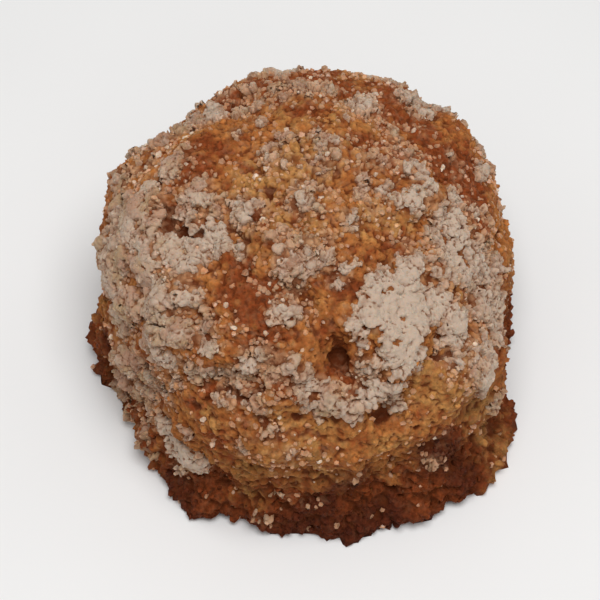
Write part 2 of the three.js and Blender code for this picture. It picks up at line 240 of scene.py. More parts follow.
# The air hole in the front and the pits round it: the place, radius and depth.
AIR_HOLES = [
    (172, 462, 0.85, 1.3), (176, 467, 0.45, 0.6), (75, 376, 0.6, 0.8), (80, 388, 0.5, 0.9),
    (93, 389, 0.5, 0.9), (71, 375, 0.4, 0.6), (118, 393, 0.45, 0.8), (58, 421, 0.45, 0.7),
    (58, 440, 0.4, 0.6), (84, 457, 0.4, 0.6), (61, 467, 0.55, 0.8), (47, 472, 0.5, 0.7),
    (77, 473, 0.5, 0.7), (57, 487, 0.5, 0.7), (88, 489, 0.6, 0.6), (52, 500, 0.5, 0.7),
    (197, 496, 0.8, 1.2), (132, 365, 0.45, 0.7), (183, 338, 0.4, 0.6), (187, 444, 0.4, 0.6),
    (262, 445, 0.5, 0.8), (237, 460, 0.4, 0.6), (68, 358, 0.45, 0.6), (47, 370, 0.5, 0.8),
    (147, 496, 0.5, 0.7), (140, 487, 0.4, 0.6), (113, 478, 0.4, 0.5), (217, 502, 0.4, 0.5),
    (101, 545, 0.5, 0.6), (240, 421, 0.4, 0.5), (243, 386, 0.4, 0.6), (73, 384, 0.9, 1),
    (83, 389, 0.8, 0.9),
]
AIR_HOLES_BEHIND = [(100, 38, 0.7, 0.9), (60, 20, 0.6, 0.8), (130, 15, 0.6, 0.8)]

# Cracks: the depth and half width in millimetres, then places along the line.
CRACKS = [
    (0.8, 0.24, [(141, 324), (148, 334), (151, 341), (156, 350)]),
    (0.35, 0.26, [(147, 432), (152, 440), (157, 446)]),
    (0.9, 0.32, [(176, 469), (183, 474), (190, 478)]),
    (
        1.5,
        0.42,
        [(95, 487), (98, 481), (104, 478), (108, 480), (113, 483), (119, 487), (124, 481), (129, 477)],
    ),
    (0.9, 0.28, [(222, 461), (229, 461), (236, 458), (243, 459), (249, 457)]),
    (0.9, 0.26, [(56, 440), (64, 441), (70, 443), (76, 437), (77, 430)]),
    (0.8, 0.28, [(71, 374), (75, 380), (76, 386), (84, 388), (94, 389)]),
    (0.8, 0.26, [(108, 388), (113, 391), (119, 394)]),
    (0.35, 0.22, [(200, 424), (212, 424), (222, 423), (229, 420)]),
    (0.6, 0.24, [(176, 486), (186, 485), (196, 489)]),
    (0.6, 0.24, [(218, 360), (222, 363), (226, 362)]),
    (0.6, 0.24, [(208, 420), (207, 428), (205, 436)]),
    (0.5, 0.22, [(183, 445), (188, 443), (193, 446)]),
    (0.6, 0.24, [(130, 362), (133, 366), (131, 371)]),
]
CRACKS_BEHIND = [
    (1.1, 0.34, [(48, 40), (54, 34), (52, 27), (63, 22)]),
    (0.9, 0.34, [(118, 44), (126, 34), (140, 30)]),
    (0.8, 0.30, [(5, 14), (14, 8), (25, 9)]),
    (0.8, 0.30, [(-178, 12), (-188, 5), (-197, 7)]),
]
STEPS_BETWEEN_PLACES = 14

# The foot darkens from its top down to its darkest, baked browner and with painted shade, and is scorched
# below the last, in millimetres.
FOOT_TOP = 19.0
FOOT_DARKEST = 3.0
FOOT_BURNT = 6.5

# How far light goes through sugar and dough, in millimetres, and the share of it for red, green
# and blue.
GLOW_DEPTH = 0.5
GLOW_SHARES = (1.0, 0.55, 0.35)

# Sugar and dough clods, in millimetres: how wide they are and how far their edges bend. Then how
# much chance adds to the thickness of the sugar, and what share of the clods is missing.
SUGAR_GRANULE = 0.8
SUGAR_LUMP = 2.0
DOUGH_CLOD = 0.85
CLOD_BEND = 0.16
CLOD_CHANCE = 1.2
BARE_CLODS = 0.04

# How far the surface of the sugar dips under the crust where no sugar lies, in millimetres.
SUGAR_DIP = 0.3

# The crust is evened a little all over, and more on top and behind, where the cookie is rounder.
SMOOTHING_PASSES = 9
ROUNDING_PASSES = 110
ROUNDING_SHARE = 0.75

# A point of the solid lower than this rests on the tray, in millimetres.
RESTING_HEIGHT = 0.01

# Grains to a square millimetre before those that lie too close together are dropped: in clumps, in
# thick and no dusting, on bare dough, and for crumbs on the foot, at the clumps' edges and elsewhere.
CLUMPED_DENSITY = 14
LOOSE_DENSITY = 17.0
LOOSE_DENSITY_UNDUSTED = 0.10
DOUGH_GRAIN_DENSITY = 2.4
FOOT_CRUMB_DENSITY = 0.20
EDGE_CRUMB_DENSITY = 0.08
CRUMB_DENSITY_ELSEWHERE = 0.02

# How each kind of grain is strewn. Spacing and widths are shares of the grain's width, and lift is
# how far its middle stands out of the surface. The most keeps a piece under 200,000 triangles.
STREWN = {
    "clumped_sugar": dict(spacing=0.80, most=9900, widths=(0.7, 1.5), lift=-0.28, breaks=3, smooth=False),
    "loose_sugar": dict(spacing=0.75, most=9000, widths=(0.65, 1.35), lift=-0.05, breaks=0, smooth=False),
    "dough_grains": dict(spacing=0.70, most=9900, widths=(0.65, 1.3), lift=-0.22, breaks=3, smooth=True),
    "crumbs": dict(spacing=1.0, most=1200, widths=(0.5, 1.25), lift=-0.05, breaks=5, smooth=True),
}
DOUGH_GRAIN_UNEVENNESS = 1.8
GRAIN_STRETCH = (0.6, 1.15)
GRAIN_BREAKS = (0.15, 0.40)
GRAIN_ROUGHNESS = 0.05

# The stage: lengths in metres, the lens in its own millimetres and the floor's reach in millimetres.
KEY_LIGHT_PLACE = (0.04, -0.14, 0.54)
KEY_LIGHT_WIDTH = 0.34
SKY_COLOUR = (1.0, 0.99, 0.97, 1.0)
LENS = 166.3
SENSOR_WIDTH = 36.0
NEAREST_SEEN = 0.01
FURTHEST_SEEN = 20.0
FLOOR_REACH = 1500.0


class CrustSettings(bpy.types.PropertyGroup):
    """Sizes and colours of the crust."""

    dough_relief: FloatProperty(
        name="Dough relief",
        description="How deep the crumb of the bare dough is",
        default=0.26 * MM,
        unit="LENGTH",
    )
    foot_relief: FloatProperty(
        name="Foot relief",
        description="How craggy the browned foot is",
        default=0.34 * MM,
        unit="LENGTH",
    )
    sugar_height: FloatProperty(
        name="Sugar height",
        description="How far thick sugar stands above the crust",
        default=1.0 * MM,
        unit="LENGTH",
    )
    golden: FloatVectorProperty(
        name="Golden",
        description="Lightly baked dough",
        default=(0.46, 0.222, 0.068),
        subtype="COLOR",
    )
    orange: FloatVectorProperty(
        name="Orange brown",
        description="Dough baked as most of the crust is",
        default=(0.43, 0.158, 0.042),
        subtype="COLOR",
    )
    brown: FloatVectorProperty(
        name="Red brown",
        description="Well baked dough",
        default=(0.22, 0.050, 0.013),
        subtype="COLOR",
    )
    # Scorched dough next to the tray, and painted shade in hollows, cracks and pits.
    dark: FloatVectorProperty(
        name="Dark brown",
        description="Hollows and the edge next to the tray",
        default=(0.085, 0.018, 0.008),
        subtype="COLOR",
    )
    # Painted shade in cracks, creases and hollows, and in the gaps beside the sugar clumps.
    crevice_shade: FloatVectorProperty(
        name="Crevice",
        description="Cracks and the creases between crumbs",
        default=(0.125, 0.029, 0.008),
        subtype="COLOR",
    )


class SugarSettings(bpy.types.PropertyGroup):
    """Sizes and colours of the sugar."""

    clump_grain: FloatProperty(
        name="Clump grain",
        description="Width of a grain in a clump",
        default=0.42 * MM,
        unit="LENGTH",
    )
    loose_grain: FloatProperty(
        name="Loose grain",
        description="Width of a loose grain",
        default=0.56 * MM,
        unit="LENGTH",
    )
    seed: IntProperty(name="Seed", description="Sets out the grains anew", default=7)
    white: FloatVectorProperty(
        name="White",
        description="Thick sugar",
        default=(0.53, 0.405, 0.312),
        subtype="COLOR",
    )
    tan: FloatVectorProperty(
        name="Tan",
        description="Thin sugar that took on the colour of the crust",
        default=(0.43, 0.285, 0.165),
        subtype="COLOR",
    )
    pink: FloatVectorProperty(
        name="Pink",
        description="Sugar that melted a little on the hot crust",
        default=(0.43, 0.255, 0.172),
        subtype="COLOR",
    )
    # Brown of the crust under thin sugar in the creases, with painted shade in the creases, hollows and
    # pinholes of the clumps.
    stain_and_shade: FloatVectorProperty(
        name="Stain",
        description="Sugar in the creases, brown from the crust under it",
        default=(0.20, 0.072, 0.026),
        subtype="COLOR",
    )
    honey: FloatVectorProperty(
        name="Honey",
        description="Clear sugar lying singly, lit by the golden dough under it",
        default=(0.57, 0.320, 0.180),
        subtype="COLOR",
    )


class CrumbSettings(bpy.types.PropertyGroup):
    """Sizes of the dough grains and crumbs."""

    dough_grain: FloatProperty(
        name="Dough grain",
        description="Width of a grain of dough on the bare crust",
        default=0.64 * MM,
        unit="LENGTH",
    )
    crumb: FloatProperty(
        name="Crumb",
        description="Width of a crumb",
        default=1.15 * MM,
        unit="LENGTH",
    )
    seed: IntProperty(name="Seed", description="Sets out the crumbs anew", default=11)


class StageSettings(bpy.types.PropertyGroup):
    """Camera, floor and light."""

    camera_elevation: FloatProperty(
        name="Camera elevation",
        description="Angle of the camera above level",
        default=CAMERA_ELEVATION,
        unit="ROTATION",
    )
    camera_distance: FloatProperty(
        name="Camera distance",
        description="From the camera to the cookie",
        default=CAMERA_DISTANCE * MM,
        unit="LENGTH",
    )
    key_power: FloatProperty(
        name="Key light",
        description="Power of the large light overhead",
        default=2.25,
        unit="POWER",
    )
    sky_strength: FloatProperty(
        name="Sky strength",
        description="Brightness of the light from all round",
        default=0.38,
    )
    floor_colour: FloatVectorProperty(
        name="Floor",
        description="Colour of the plain floor",
        default=(0.86, 0.86, 0.86),
        subtype="COLOR",
    )


def sides_of(faces):
    """The three sides of each triangle, as pairs of points with the lower number first."""
    return np.sort(np.concatenate([faces[:, [0, 1]], faces[:, [1, 2]], faces[:, [2, 0]]]), axis=1)


class Skin:
    """A triangle surface in millimetres with a value of each field at each of its points."""

    def __init__(self, points, faces):
        self.points = points
        self.faces = faces
        self.fields = {}

    def edges(self):
        return np.unique(sides_of(self.faces), axis=0)

    def corners(self):
        return self.points[self.faces]

    def normals(self):
        a, b, c = np.moveaxis(self.corners(), 1, 0)
        facing = np.cross(b - a, c - a)
        total = np.zeros_like(self.points)
        for axis in range(3):
            spread = np.repeat(facing[:, axis], 3)
            total[:, axis] = np.bincount(self.faces.ravel(), spread, len(self.points))
        return total / np.maximum(np.linalg.norm(total, axis=1, keepdims=True), 1e-12)


def solid_skin():
    """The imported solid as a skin, with each of its corners once."""
    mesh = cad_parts[SOLID].data.copy()
    mesh.calc_loop_triangles()
    corners = np.empty(len(mesh.vertices) * 3)
    mesh.vertices.foreach_get("co", corners)
    faces = np.empty(len(mesh.loop_triangles) * 3, np.int32)
    mesh.loop_triangles.foreach_get("vertices", faces)
    bpy.data.meshes.remove(mesh)
    rounded = np.round(corners.reshape(-1, 3) / MM, 3)
    points, place = np.unique(rounded, axis=0, return_inverse=True)
    faces = place.reshape(-1)[faces].reshape(-1, 3)
    a, b, c = faces.T
    return Skin(points, faces[(a != b) & (b != c) & (c != a)])


def halved(points, faces):
    """Each triangle cut into four at the middles of its sides."""
    edges, which = np.unique(sides_of(faces), axis=0, return_inverse=True)
    middles = points[edges].mean(axis=1)
    ab, bc, ca = which.reshape(3, -1) + len(points)
    a, b, c = faces.T
    quarters = [(a, ab, ca), (ab, b, bc), (ca, bc, c), (ab, bc, ca)]
    return np.concatenate([points, middles]), np.concatenate([np.stack(q, 1) for q in quarters])


def evened(values, edges, passes):
    """Values at points, each drawn halfway to the mean of its neighbours on each pass."""
    count = len(values)
    both = np.concatenate([edges, edges[:, ::-1]])
    degree = np.bincount(both[:, 0], minlength=count)
    columns = values.reshape(count, -1).astype(float)
    for _ in range(passes):
        means = [np.bincount(both[:, 0], columns[both[:, 1], k], count) for k in range(columns.shape[1])]
        columns = 0.5 * columns + 0.5 * np.stack(means, 1) / degree[:, None]
    return columns.reshape(values.shape)


def smooth_step(value, low, high):
    share = np.clip((value - low) / (high - low), 0, 1)
    return share * share * (3 - 2 * share)


def lumps(points, size, start):
    """Smooth lumps of about that size in millimetres, from about -1 to 1."""
    scaled = (points / size + start).tolist()
    return 2 * np.array([noise.noise(Vector(p)) for p in scaled])


class Clods:
    """Clods of about one size in millimetres, and which of them each point is in."""

    def __init__(self, points, size, start):
        scaled = (points / size + start).tolist()
        found = [noise.voronoi(Vector(p)) for p in scaled]
        gaps = np.array([distances[:2] for distances, _ in found])
        middles = np.array([seeds[0][:] for _, seeds in found])
        seeds, self.own = np.unique(np.round(middles, 4), axis=0, return_inverse=True)
        self.own = self.own.reshape(-1)
        self.middles = (seeds - start) * size
        self.chance = np.random.default_rng(len(seeds)).random(len(seeds))
        self.inwards = np.clip((gaps[:, 1] - gaps[:, 0]) / 0.5, 0, 1)

    def dome(self):
        """1 in the middle of a clod, falling to 0 in the crease round it."""
        return np.sqrt(self.inwards)


def directions(headings, rises):
    turn, tilt = np.radians(headings), np.radians(rises)
    return np.stack([np.cos(tilt) * np.cos(turn), np.cos(tilt) * np.sin(turn), np.sin(tilt)], 1)


class Marks:
    """Round marks on a form: their middles, radii and strengths. Those seen are placed by the
    photograph's pixels, and those behind by heading and rise."""

    def __init__(self, form, seen, behind=()):
        self.middles = np.array([*seen_at(form, seen), *out_at(form, behind)])
        self.radii = np.array([row[2] for row in (*seen, *behind)])
        self.strengths = np.array([row[3] for row in (*seen, *behind)])

    def away(self, points):
        """How far each point is from the middle of each mark."""
        return np.stack([np.linalg.norm(points - middle, axis=1) for middle in self.middles])

    def inside(self, points):
        """How far inside the nearest mark each point is, in millimetres, and that mark's strength."""
        gaps = self.radii[:, None] - self.away(points)
        return gaps.max(axis=0), self.strengths[gaps.argmax(axis=0)]

    def fading(self, points):
        """How near each point is to each mark: 1 in its middle, fading over its radius."""
        return np.exp(-((self.away(points) / self.radii[:, None]) ** 2))

    def glow(self, points):
        """The strongest of the marks at each point."""
        return (self.strengths[:, None] * self.fading(points)).max(axis=0)


def seen_at(form, rows):
    """The points of the form that the photograph shows at each row's pixels."""
    towards = np.array([0, -math.cos(CAMERA_ELEVATION), math.sin(CAMERA_ELEVATION)])
    upwards = np.array([0, math.sin(CAMERA_ELEVATION), math.cos(CAMERA_ELEVATION)])
    shown = form.points[form.normals() @ towards > FACING_SHARE]
    offsets = shown - CAMERA_TARGET
    depths = CAMERA_DISTANCE - offsets @ towards
    sides = np.stack([offsets[:, 0], -offsets @ upwards], 1) * CAMERA_DISTANCE / depths[:, None]
    pixels = PHOTO_MIDDLE + PIXELS_PER_MM * sides
    further = NEARNESS_WEIGHT * depths
    nearest = [np.argmin(np.linalg.norm(pixels - row[:2], axis=1) + further) for row in rows]
    return shown[nearest]


def out_at(form, rows):
    """The points of the form in the direction of each row's heading and rise."""
    rays = form.points - BELLY
    rays /= np.linalg.norm(rays, axis=1, keepdims=True)
    ways = directions([row[0] for row in rows], [row[1] for row in rows])
    return [form.points[np.argmax(rays @ way)] for way in ways]


def set_down(points, resting):
    """Keeps the resting points on the tray, and the others from sinking into it."""
    points[:, 2] = np.where(resting, 0, np.maximum(points[:, 2], 0))


def cookie_form():
    """The solid's form, finer and evened, and a little rounder on top and behind."""
    solid = solid_skin()
    points, faces = halved(*halved(solid.points, solid.faces))
    skin = Skin(points, faces)
    edges = skin.edges()
    resting = points[:, 2] < RESTING_HEIGHT
    smooth = np.where(resting[:, None], points, evened(points, edges, SMOOTHING_PASSES))
    rounder = evened(smooth, edges, ROUNDING_PASSES)
    behind = smooth_step(smooth[:, 1], -8, 6) * smooth_step(smooth[:, 2], 10, 18)
    smooth += ROUNDING_SHARE * behind[:, None] * (rounder - smooth)
    set_down(smooth, resting)
    skin.points = smooth
    normals = skin.normals()
    swellings = Marks(skin, SWELLINGS, SWELLINGS_BEHIND)
    smooth += normals * (swellings.strengths @ swellings.fading(smooth))[:, None]
    set_down(smooth, resting)
    return skin


def back_clumps():
    """Rows for the clumps behind."""
    rows = []
    for clump in range(BACK_CLUMP_COUNT):
        heading = np.interp((clump * GOLDEN_RATIO) % 1, (0, 1), BACK_HEADINGS)
        rise = np.interp((clump + 0.5) / BACK_CLUMP_COUNT, (0, 1), BACK_RISES)
        radius = np.interp((3 * clump * GOLDEN_RATIO) % 1, (0, 1), BACK_RADII)
        whiteness = np.interp((5 * clump * GOLDEN_RATIO) % 1, (0, 1), BACK_WHITENESS)
        for part in range(BACK_CLUMP_PARTS):
            turn = 2 * math.pi * ((clump + 1) * (part + 1) * GOLDEN_RATIO % 1)
            away = BACK_PART_SPREAD * math.sqrt(part)
            size = radius * (1 - BACK_PART_SHRINKING * part)
            place = (heading + away * math.cos(turn), rise + away * math.sin(turn))
            rows.append((*place, size, whiteness * (1 - BACK_PART_FADING * part)))
    return rows


def crack_depth(points):
    """How deep the cracks are at each point."""
    lines = [(*row[:2], seen_at(FORM, row[2])) for row in CRACKS]
    lines += [(*row[:2], np.array(out_at(FORM, row[2]))) for row in CRACKS_BEHIND]
    depth = np.zeros(len(points))
    for deepest, half_width, line in lines:
        shares = np.linspace(0, len(line) - 1, STEPS_BETWEEN_PLACES * (len(line) - 1) + 1)
        along = np.stack([np.interp(shares, range(len(line)), line[:, k]) for k in range(3)], 1)
        for place, share in zip(along, shares / shares[-1]):
            thinning = 0.45 + 0.55 * math.sin(math.pi * min(max(share, 0.08), 0.92))
            away = np.linalg.norm(points - place, axis=1)
            depth = np.maximum(depth, thinning * deepest * np.exp(-(away / half_width) ** 2))
    return depth


FORM = cookie_form()
CLUMPED = Marks(FORM, CLUMPS, back_clumps())
DUSTED = Marks(FORM, DUSTINGS, DUSTINGS_BEHIND)
CLOSED = Marks(FORM, CLOSED_COATS, CLOSED_COATS_BEHIND)
PALE = Marks(FORM, PALE_FOOT, PALE_FOOT_BEHIND)


def crust_skin(settings):
    """The solid's form with the finer relief of dough, clumps, cracks and pits, and its fields."""
    skin = Skin(FORM.points, FORM.faces)
    edges = skin.edges()
    smooth = skin.points
    normals = skin.normals()
    resting = smooth[:, 2] < RESTING_HEIGHT

    broad = lumps(smooth, 9.0, 3.1)
    middling = lumps(smooth, 3.4, 7.7)
    small = lumps(smooth, 1.7, 1.3)
    fine = lumps(smooth, 0.9, 5.9)
    finest = lumps(smooth, 0.5, 9.2)
    height = smooth[:, 2]
    bent = smooth + CLOD_BEND * np.stack([finest, fine, small], 1)

    crumbs = Clods(bent, DOUGH_CLOD, 6.1)
    crumb = crumbs.chance[crumbs.own]
    uneven = 3.0 * broad * smooth_step(smooth[:, 1], 0, 10)
    foot = 1 - smooth_step(height + uneven + 1.0 * middling + 0.8 * small, FOOT_DARKEST, FOOT_TOP)
    paleness = PALE.glow(smooth)
    pits = Marks(FORM, AIR_HOLES, AIR_HOLES_BEHIND).glow(smooth)
    hollows = Marks(FORM, (), SHADED_HOLLOWS).glow(smooth)
    wandering = smooth + 0.35 * np.stack([small, middling, fine], 1)
    cracks = crack_depth(wandering)
    creases = smooth_step(np.abs(lumps(smooth, 4.6, 4.4)), 0.10, 0.0) * smooth_step(middling, -0.1, 0.5)

    thickness, whiteness, dusting = sugar_cover(smooth)
    even = smooth_step(thickness, 0.0, 1.5) * smooth_step(whiteness, 0.35, 0.9)
    even = np.maximum(even, smooth_step(CLOSED.glow(smooth), 0.3, 0.8))
    relief = settings.dough_relief / MM * (1 - 0.6 * even)
    top = relief * (1.4 * crumbs.dome() + 0.9 * crumb - 1.2 + 0.7 * small + 0.5 * fine)
    top += 0.10 * middling
    crags = 0.9 * small + 0.5 * fine + 1.1 * (crumbs.dome() - 0.6) + 0.6 * (crumb - 0.5)
    top += smooth_step(foot, 0.3, 1.0) * settings.foot_relief / MM * crags
    top -= cracks + pits + hollows + 0.22 * creases
    top[resting] = 0
    points = smooth + normals * top[:, None]
    set_down(points, resting)
    skin.points = points
    deep = smooth_step(cracks + pits, 0.12, 0.55)
    layer = SugarLayer(points, deep)

    # How far each point lies below its evened neighbours. Hollows, cracks and pits are darkened from it in
    # the colours as painted shade.
    sunk = np.einsum("ij,ij->i", evened(points, edges, 14) - points, skin.normals())
    narrow = smooth_step(sunk, 0.02, 0.16)
    hollow_shade = np.clip(0.75 * narrow + deep, 0, 1)
    golden = Marks(FORM, GOLDEN_PLACES, GOLDEN_PLACES_BEHIND).glow(smooth) + 0.16 * broad
    golden = np.clip(golden, 0, 1.2) * (1 - 0.85 * smooth_step(foot, 0.5, 1.0) * (1 - paleness))
    # Along the top and upper right these marks are painted shade as well as baked red-brown.
    baked = Marks(FORM, BROWN_AND_SHADED_PLACES, BROWN_PLACES_BEHIND).glow(smooth) + 0.14 * broad + 0.12 * middling
    baked = np.clip(baked, 0, 1.2)
    # Scorched next to the tray and in the marked patches, and painted shade in the dark hollows and in one
    # marked patch.
    burnt_and_shade = smooth_step(height + 1.5 * middling + 0.8 * small, FOOT_BURNT, 0.0) * (1 - 0.8 * paleness)
    burnt_and_shade += 1.1 * hollows + Marks(FORM, BURNT_AND_SHADED_PLACES, BURNT_PLACES_BEHIND).glow(smooth)
    skin.fields = {
        "cover": evened(layer.lies.astype(float), edges, 1),
        "near": smooth_step(evened(thickness, edges, 2), -1.2, 0.2),
        "white": np.clip(evened(whiteness, edges, 2) + 0.10 * middling, 0, 1),
        "dusting": dusting,
        "golden": golden,
        "baked": np.maximum(baked, 1.2 * smooth_step(foot, 0.55, 1.0) * (1 - 0.7 * paleness)),
        "foot": foot,
        "burnt_and_shade": np.clip(burnt_and_shade, 0, 1),
        "hollow_shade": hollow_shade,
        "deep": deep,
        "crumb": evened(crumb, edges, 1),
        "crease": evened(1 - crumbs.dome(), edges, 1),
    }
    return skin


def sugar_cover(places):
    """How thick the sugar lies at each place, in millimetres and below 0 where there is none, how
    white it is, and how thick the dusting is."""
    broad = lumps(places, 9.0, 3.1)
    middling = lumps(places, 3.4, 7.7)
    small = lumps(places, 1.7, 1.3)
    inside, whiteness = CLUMPED.inside(places)
    dusting = np.clip(DUSTED.glow(places) + 0.16 * broad + 0.12 * middling, 0, 1)
    above_foot = smooth_step(places[:, 2] + 1.2 * middling, 4.0, 8.0)
    above_foot = np.maximum(above_foot, 0.9 * PALE.glow(places))
    dusting *= above_foot
    clumped = inside + 0.5 * middling + 0.4 * small
    strewn = 3.0 * (dusting - 0.75) + 0.8 * small - 3.0 * (1 - above_foot)
    whiteness = np.where(clumped > -0.3, whiteness, 0.10 + 0.25 * dusting)
    return np.maximum(clumped, strewn), whiteness, dusting


def only_used(table, faces):
    """The rows of the table that the faces use, and the faces numbered to match."""
    used, place = np.unique(faces, return_inverse=True)
    return table[used], place.reshape(-1, 3)


class SugarLayer:
    """The granules and lumps of sugar at each point, and whether any lies there."""

    def __init__(self, points, deep):
        self.small = lumps(points, 1.3, 4.1)
        self.fine = lumps(points, 0.7, 8.3)
        self.finest = lumps(points, 0.36, 5.5)
        bent = points + CLOD_BEND * np.stack([self.finest, self.fine, self.small], 1)
        self.granules = Clods(bent, SUGAR_GRANULE, 2.2)
        self.masses = Clods(bent + 0.3 * np.stack([self.fine, self.small, self.fine], 1), SUGAR_LUMP, 4.9)
        middles = self.granules.middles
        own = self.granules.own
        thickness, whiteness, _ = sugar_cover(middles)
        closed = smooth_step(CLOSED.glow(middles), 0.3, 0.8)
        packed = smooth_step(thickness, 0.6, 2.2) * smooth_step(whiteness, 0.3, 0.9)
        self.packed = np.maximum(packed, 0.6 * closed * smooth_step(thickness, 0.2, 1.5))[own]
        self.thin = ((1 - smooth_step(thickness, -0.5, 0.6)) * (1 - 0.5 * closed))[own]
        openness = 0.42 + 2.2 * smooth_step(whiteness, 0.45, 0.85) + 0.5 * lumps(middles, 2.6, 1.9)
        missing = np.where(self.granules.chance < BARE_CLODS, 3.0, 0)
        chance = CLOD_CHANCE * (self.granules.chance - 0.5) - missing
        thickness = np.minimum(thickness, openness + 0.9 * closed) + chance * (1 - 0.4 * closed)
        self.lies = (thickness > 0)[own] & (deep < 0.6)
        self.chance = self.granules.chance[own]
        self.whiteness = whiteness[own] + 0.4 * (self.chance - 0.5) * (1 - 0.4 * self.packed)
        self.whiteness += 0.7 * (self.masses.chance[self.masses.own] - 0.45) * (1 - 0.5 * self.packed)

    def height(self):
        """How far the sugar stands above the crust, as a share of its full height."""
        round_top = self.granules.dome() * (1 - 0.8 * self.packed)
        lump = self.masses.dome() * (1 - 0.4 * self.packed)
        height = 0.06 + 0.17 * round_top + 0.16 * self.packed + 0.40 * lump
        height += 0.08 * (self.chance - 0.5) * (1 - 0.7 * self.packed) + 0.12 * self.small * self.packed
        return height + 0.04 * self.fine + 0.04 * self.finest


def sugar_skin(crust, settings):
    """Sugar as a finer surface over the crust, which dips under it where no sugar lies."""
    facing = evened(crust.normals(), crust.edges(), 3)
    columns = [crust.points, facing, crust.fields["deep"][:, None], crust.fields["foot"][:, None]]
    near = crust.fields["cover"][crust.faces].max(axis=1) > 0
    table, faces = halved(*only_used(np.concatenate(columns, axis=1), crust.faces[near]))
    points = table[:, :3]
    normals = table[:, 3:6] / np.linalg.norm(table[:, 3:6], axis=1, keepdims=True)
    layer = SugarLayer(points, table[:, 6])
    height = np.where(layer.lies, settings.sugar_height / MM * layer.height(), -SUGAR_DIP)
    kept = height[faces].max(axis=1) > 0
    points = points + normals * height[:, None]
    points[:, 2] = np.maximum(points[:, 2], 0)
    fields = {
        "white": layer.whiteness,
        "packed": layer.packed,
        "crease": np.maximum(1 - layer.granules.dome(), 0.9 * (1 - layer.masses.dome())),
        "lies": layer.lies,
        "foot": table[:, 7],
        "thin": layer.thin,
    }
    table = np.concatenate([points, np.stack(list(fields.values()), 1)], axis=1)
    table, faces = only_used(table, faces[kept])
    skin = Skin(table[:, :3], faces)
    edges = skin.edges()
    skin.fields = dict(zip(fields, table[:, 3:].T))
    skin.fields["white"] = np.clip(evened(skin.fields["white"], edges, 1), 0, 1)
    # How far each point of the sugar lies below its evened neighbours, which darkens the clumps' creases as
    # painted shade.
    sunk = np.einsum("ij,ij->i", evened(skin.points, edges, 12) - skin.points, skin.normals())
    skin.fields["hollow_shade"] = smooth_step(sunk, 0.0, 0.14)
    return skin


def mesh_object(name, points, faces, fields, smooth, material):
    """A mesh piece from points in millimetres, with the fields as point attributes."""
    mesh = bpy.data.meshes.new(name)
    mesh.vertices.add(len(points))
    mesh.vertices.foreach_set("co", (points * MM).astype(np.float32).ravel())
    mesh.loops.add(faces.size)
    mesh.loops.foreach_set("vertex_index", faces.astype(np.int32).ravel())
    mesh.polygons.add(len(faces))
    mesh.polygons.foreach_set("loop_start", np.arange(0, faces.size, 3, dtype=np.int32))
    mesh.update(calc_edges=True)
    mesh.polygons.foreach_set("use_smooth", np.full(len(faces), smooth))
    if mesh.validate():
        raise RuntimeError(f"{name}: the mesh had faults")
    for field, values in fields.items():
        attribute = mesh.attributes.new(field, "FLOAT", "POINT")
        attribute.data.foreach_set("value", values.astype(np.float32))
    mesh.materials.append(material)
    made = bpy.data.objects.new(name, mesh)
    bpy.context.scene.collection.objects.link(made)
    return made


def skin_of(made):
    """The skin of a finished mesh piece."""
    mesh = made.data
    points = np.empty(len(mesh.vertices) * 3, np.float32)
    mesh.vertices.foreach_get("co", points)
    faces = np.empty(len(mesh.loops), np.int32)
    mesh.loops.foreach_get("vertex_index", faces)
    skin = Skin(points.reshape(-1, 3).astype(float) / MM, faces.reshape(-1, 3))
    for attribute in mesh.attributes:
        if attribute.data_type == "FLOAT" and attribute.domain == "POINT":
            values = np.empty(len(mesh.vertices), np.float32)
            attribute.data.foreach_get("value", values)
            skin.fields[attribute.name] = values.astype(float)
    return skin


class Spots:
    """Places on a skin, with the skin's normal and fields there."""

    def __init__(self, skin, faces, shares):
        corners = skin.faces[faces]
        self.places = (skin.points[corners] * shares[:, :, None]).sum(1)
        facing = (skin.normals()[corners] * shares[:, :, None]).sum(1)
        self.normals = facing / np.linalg.norm(facing, axis=1, keepdims=True)
        self.fields = {name: (values[corners] * shares).sum(1) for name, values in skin.fields.items()}


def spaced(places, spacing):
    """Numbers of the places left when any closer than the spacing to an earlier one is dropped."""
    tree = KDTree(len(places))
    for number, place in enumerate(places):
        tree.insert(place, number)
    tree.balance()
    free = np.ones(len(places), bool)
    kept = []
    for number, place in enumerate(places):
        if free[number]:
            kept.append(number)
            free[[other for _, other, _ in tree.find_range(place, spacing)]] = False
    return np.array(kept)


def scattered(skin, wanted, spacing, most, draws):
    """Random spots on the skin: as many to a square millimetre as wanted says, kept apart."""
    a, b, c = np.moveaxis(skin.corners(), 1, 0)
    weight = np.linalg.norm(np.cross(b - a, c - a), axis=1) / 2 * wanted[skin.faces].mean(1)
    faces = draws.choice(len(weight), size=int(weight.sum()), p=weight / weight.sum())
    first = np.sqrt(draws.random(len(faces)))
    second = draws.random(len(faces))
    shares = np.stack([1 - first, first * (1 - second), first * second], 1)
    places = (skin.points[skin.faces[faces]] * shares[:, :, None]).sum(1)
    kept = spaced(places, spacing)[:most]
    return Spots(skin, faces[kept], shares[kept])


def icosahedron():
    """A rounded grain one millimetre across."""
    golden = (1 + math.sqrt(5)) / 2
    corners = []
    for one in (-1, 1):
        for other in (-golden, golden):
            corners += [(0, one, other), (one, other, 0), (other, 0, one)]
    points = np.array(corners, float)
    return hull_of(points / np.linalg.norm(points, axis=1, keepdims=True) / 2)


def trimmed_cube():
    """A crystal one millimetre across: a cube with its corners cut off."""
    corners = [p for p in np.ndindex(3, 3, 3) if sorted(abs(v - 1) for v in p) == [0, 1, 1]]
    return hull_of((np.array(corners, float) - 1) * 0.42)


